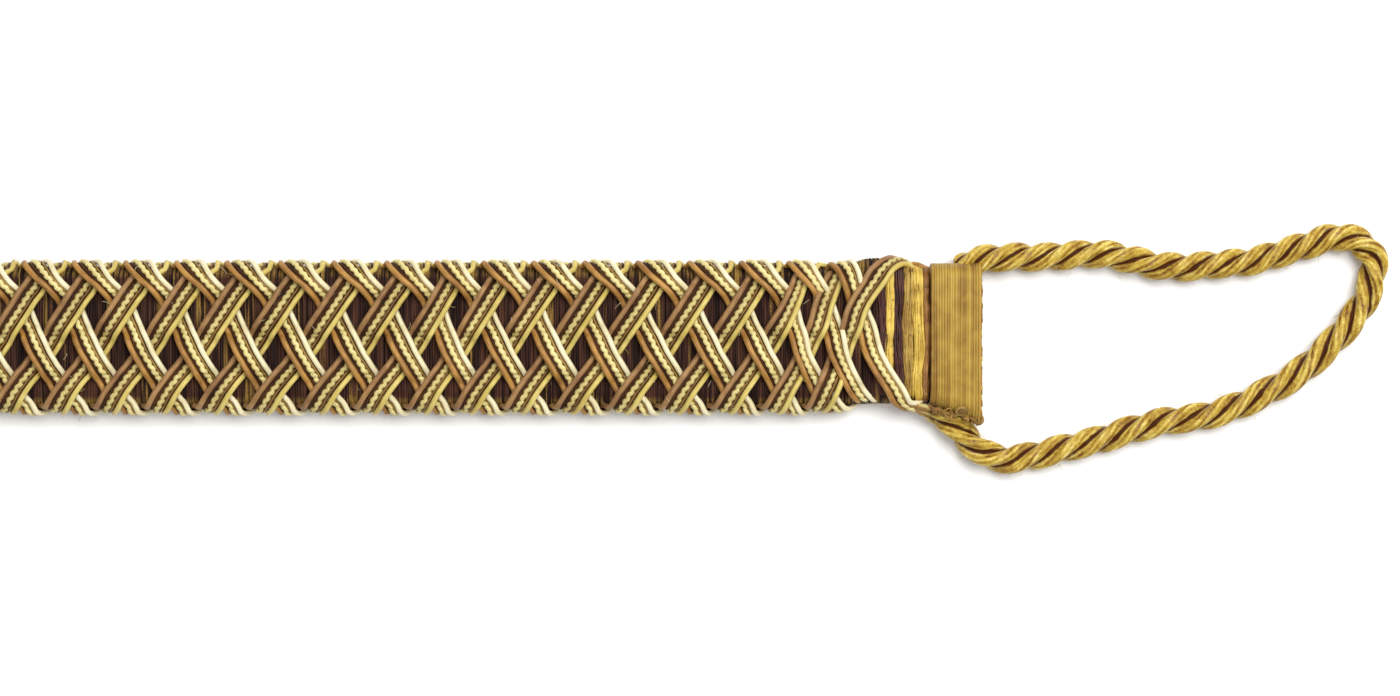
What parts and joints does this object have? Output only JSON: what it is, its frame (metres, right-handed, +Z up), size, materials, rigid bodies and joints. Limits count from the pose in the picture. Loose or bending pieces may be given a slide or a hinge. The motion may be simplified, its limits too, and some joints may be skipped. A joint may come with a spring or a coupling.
{
  "type": "curtain tieback",
  "caption": "Flat braided curtain tieback of fine cords over a wound core, with a thread-bound collar and a twisted rope loop at each end.",
  "frame": {"origin": "under the middle of the band, on the surface that it lies on", "axes": "+X along the band, +Y across it, +Z up out of its face"},
  "size_m": [0.6442, 0.0842, 0.0138],
  "materials": {
    "core_yarn": "dark brown yarn wound round the core, with odd gold turns",
    "falling_strip": "five fine cords side by side: brown, dark, twisted cream, dark and pale gold",
    "rising_strip": "five fine cords side by side: brown, dark, twisted tan, dark and gold",
    "binding_thread": "close turns of silky old gold thread",
    "twisted_rope": "three-strand rope of gold yarn with maroon in its grooves"
  },
  "bodies": {
    "root": {"core": "core_yarn", "strip_falling_1": "falling_strip", "strip_falling_2": "falling_strip", "strip_falling_3": "falling_strip", "strip_falling_4": "falling_strip", "strip_rising_1": "rising_strip", "strip_rising_2": "rising_strip", "strip_rising_3": "rising_strip", "strip_rising_4": "rising_strip", "collar_right": "binding_thread", "collar_left": "binding_thread", "loop_right": "twisted_rope", "loop_left": "twisted_rope"}
  },
  "joints": []
}
